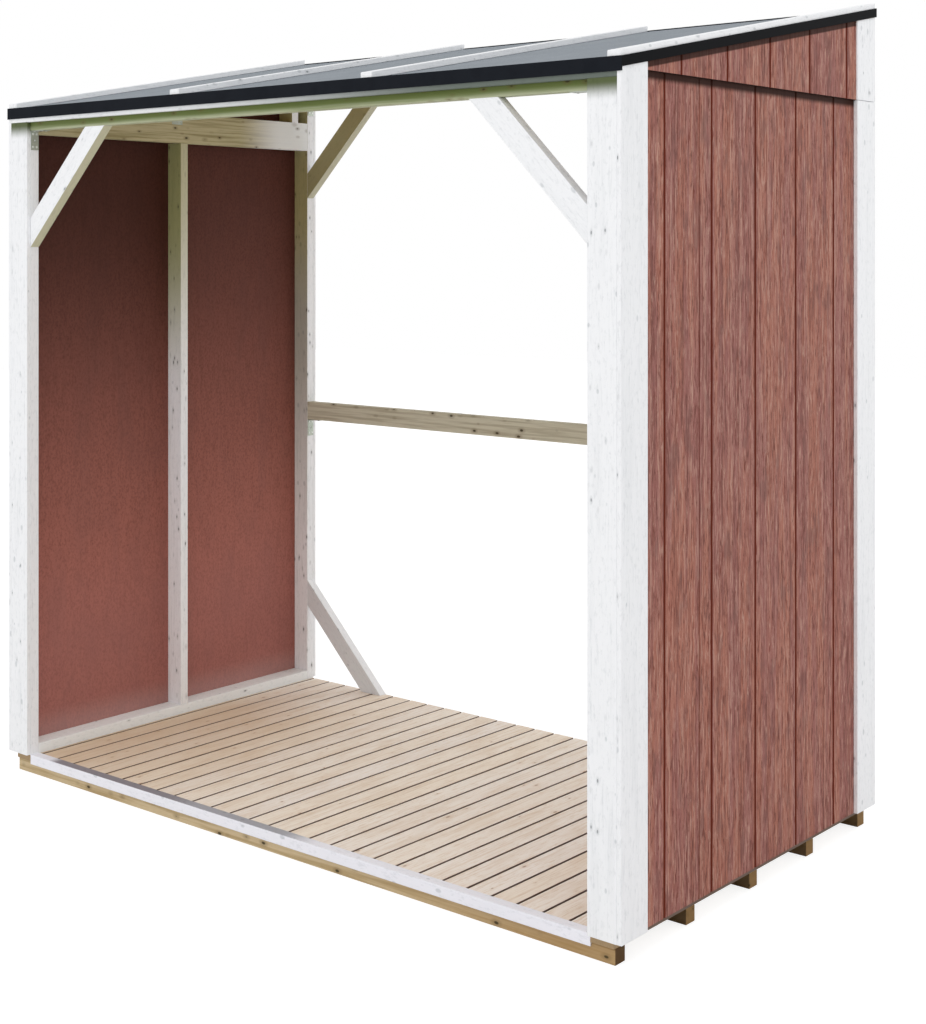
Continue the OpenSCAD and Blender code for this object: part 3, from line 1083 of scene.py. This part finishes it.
class LOGSTORE_OT_steel(bpy.types.Operator):
    """Make the punched angle brackets with their screws, and the punched plates on the top rails"""

    bl_idname = "logstore.steel"
    bl_label = "Brackets and Plates"

    LEG, WIDTH, THICK = 58 * MM, 26 * MM, 2 * MM
    # A leg has three rows of holes: two, one and two. The lone hole is wider and has no screw
    ROWS = (2, 1, 2)
    LONE_HOLE = 1.3
    # A screw head's height, and the width of its flat top as a share of its width
    HEAD_H, HEAD_TOP = 1.5 * MM, 0.6
    # From a post's front face to the middle of its bracket
    BRACKET_Y = 15 * MM
    PLATE_LENGTH, PLATE_HEIGHT, PLATE_THICK = 43 * MM, 36 * MM, 1.2 * MM
    PLATE_ROWS, PLATE_HOLE = 3, 4 * MM
    # The front end of the plates
    PLATE_Y = -49 * MM

    def cell(self, bm, centre, half_u, half_v, steps, radius):
        """A flat rectangle with a round hole. Its sides along v have corners at a number of steps, so that
        they meet the corners of the cells beside it."""
        ring = [(-half_u, -half_v), (0, -half_v)]
        ring += [(half_u, -half_v + 2 * half_v * i / steps) for i in range(steps)]
        ring += [(half_u, half_v), (0, half_v)]
        ring += [(-half_u, half_v - 2 * half_v * i / steps) for i in range(steps)]
        at = Matrix.Translation(centre)
        turn = Matrix.Rotation(math.atan2(-half_v, -half_u), 4, "Z")
        hole = bmesh.ops.create_circle(bm, segments=len(ring), radius=radius, matrix=at @ turn)["verts"]
        rim = bmesh.ops.create_circle(bm, segments=len(ring), radius=radius * 2, matrix=at @ turn)["verts"]
        for v, (u, w) in zip(rim, ring):
            v.co = Vector(centre) + Vector((u, w, 0))
        bmesh.ops.bridge_loops(bm, edges=edges_of(hole) + edges_of(rim))

    def strip(self, bm, rows):
        """A flat punched strip along X. Returns the places of its holes."""
        half_u = self.LEG / len(self.ROWS) / 2
        holes = []
        for i, count in enumerate(rows):
            u = (2 * i + 1) * half_u
            half_v = self.WIDTH / count / 2
            for k in range(count):
                centre = (u, -self.WIDTH / 2 + (2 * k + 1) * half_v, 0)
                hole = sizes().bracket_hole / 2 * (self.LONE_HOLE if count == 1 else 1.0)
                self.cell(bm, centre, half_u, half_v, 4 // count, hole)
                holes.append((Vector(centre), count))
        bmesh.ops.remove_doubles(bm, verts=bm.verts[:], dist=WELD)
        return holes

    def bracket(self, bm, screws, side, y, z):
        """One bracket: a punched strip folded under a beam and down the inner face of a post."""
        strip = bmesh.new()
        holes = self.strip(strip, self.ROWS + self.ROWS[::-1])
        fold = Matrix.Rotation(math.pi / 2, 4, "Y")
        corner = Vector((self.LEG, 0, 0))
        lower = [v for v in strip.verts if v.co.x > self.LEG + WELD]
        bmesh.ops.rotate(strip, cent=corner, matrix=fold, verts=lower)
        face_outward(strip)
        if strip.faces[0].normal.z > 0:
            bmesh.ops.reverse_faces(strip, faces=strip.faces[:])
        bmesh.ops.solidify(strip, geom=strip.faces[:], thickness=-self.THICK)
        place = on_side(side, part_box("right_mid_stud")[0].x, y, z) @ Matrix.Translation(-corner)
        head = sizes().screw_head / 2
        lift = Matrix.Translation((0, 0, self.HEAD_H / 2))
        for where, count in holes:
            if count == 1:
                continue
            if where.x < self.LEG:
                at, turn = where - Vector((0, 0, self.THICK)), Matrix.Rotation(math.pi, 4, "X")
            else:
                at = (self.LEG - self.THICK, where.y, self.LEG - where.x)
                turn = Matrix.Rotation(-math.pi / 2, 4, "Y")
            bmesh.ops.create_cone(
                screws, cap_ends=True, segments=12, radius1=head, radius2=head * self.HEAD_TOP,
                depth=self.HEAD_H, matrix=place @ Matrix.Translation(at) @ turn @ lift,
            )
        bmesh.ops.transform(strip, matrix=place, verts=strip.verts[:])
        join(bm, strip)

    def execute(self, context):
        steel = galvanised()
        places = (
            (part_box("left_front_post")[0].y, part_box("front_beam")[0].z),
            (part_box("left_back_post")[0].y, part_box("back_mid_rail")[0].z),
            (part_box("left_back_post")[0].y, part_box("back_beam")[0].z),
        )
        brackets, screws = bmesh.new(), bmesh.new()
        for side in (-1, 1):
            for y, z in places:
                self.bracket(brackets, screws, side, y + self.BRACKET_Y, z)
        face_outward(brackets)
        face_outward(screws)
        new_piece("angle_brackets", brackets, [steel], ["corner_brackets"])
        new_piece("bracket_screws", screws, [zinc_screw()])
        self.plates(steel)
        return {"FINISHED"}

    def plates(self, steel):
        """The punched plates on the inner faces of the top rails, with three rows of three holes."""
        plates = bmesh.new()
        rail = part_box("right_top_rail")
        half_u, half_v = [size / self.PLATE_ROWS / 2 for size in (self.PLATE_LENGTH, self.PLATE_HEIGHT)]
        for side in (-1, 1):
            one = bmesh.new()
            for i in range(self.PLATE_ROWS):
                for k in range(self.PLATE_ROWS):
                    centre = ((2 * i + 1) * half_u, (2 * k + 1) * half_v, 0)
                    self.cell(one, centre, half_u, half_v, 2, self.PLATE_HOLE / 2)
            bmesh.ops.remove_doubles(one, verts=one.verts[:], dist=WELD)
            bmesh.ops.solidify(one, geom=one.faces[:], thickness=self.PLATE_THICK)
            stand = Matrix(((0, 0, 1, 0), (1, 0, 0, 0), (0, 1, 0, 0), (0, 0, 0, 1)))
            low = min(v.co.z for v in one.verts)
            bmesh.ops.translate(one, vec=(0, 0, -low - self.PLATE_THICK), verts=one.verts[:])
            place = on_side(side, rail[0].x, self.PLATE_Y, rail[1].z - self.PLATE_HEIGHT) @ stand
            bmesh.ops.transform(one, matrix=place, verts=one.verts[:])
            join(plates, one)
        face_outward(plates)
        new_piece("rail_plates", plates, [steel])


class VIEW3D_PT_log_store(bpy.types.Panel):
    """The log store's steps, sizes and finishes"""

    bl_label = "Log Store"
    bl_space_type = "VIEW_3D"
    bl_region_type = "UI"
    bl_category = "Log Store"

    def draw(self, context):
        for step in STEPS:
            self.layout.operator(step.bl_idname)
        for group in (sizes(), finishes()):
            box = self.layout.box()
            for name in group.__annotations__:
                box.prop(group, name)


STEPS = (
    LOGSTORE_OT_stage, LOGSTORE_OT_timbers, LOGSTORE_OT_floor, LOGSTORE_OT_sheets,
    LOGSTORE_OT_back_side_boards, LOGSTORE_OT_roof, LOGSTORE_OT_steel,
)
CLASSES = (LogStoreSizes, LogStoreFinishes, *STEPS, VIEW3D_PT_log_store)


def register():
    for one in CLASSES:
        bpy.utils.register_class(one)
    bpy.types.Scene.log_store_sizes = bpy.props.PointerProperty(type=LogStoreSizes)
    bpy.types.Scene.log_store_finishes = bpy.props.PointerProperty(type=LogStoreFinishes)


def unregister():
    del bpy.types.Scene.log_store_finishes
    del bpy.types.Scene.log_store_sizes
    for one in reversed(CLASSES):
        bpy.utils.unregister_class(one)


def main():
    register()
    for step in STEPS:
        group, name = step.bl_idname.split(".")
        getattr(getattr(bpy.ops, group), name)()


if __name__ == "__main__":
    main()
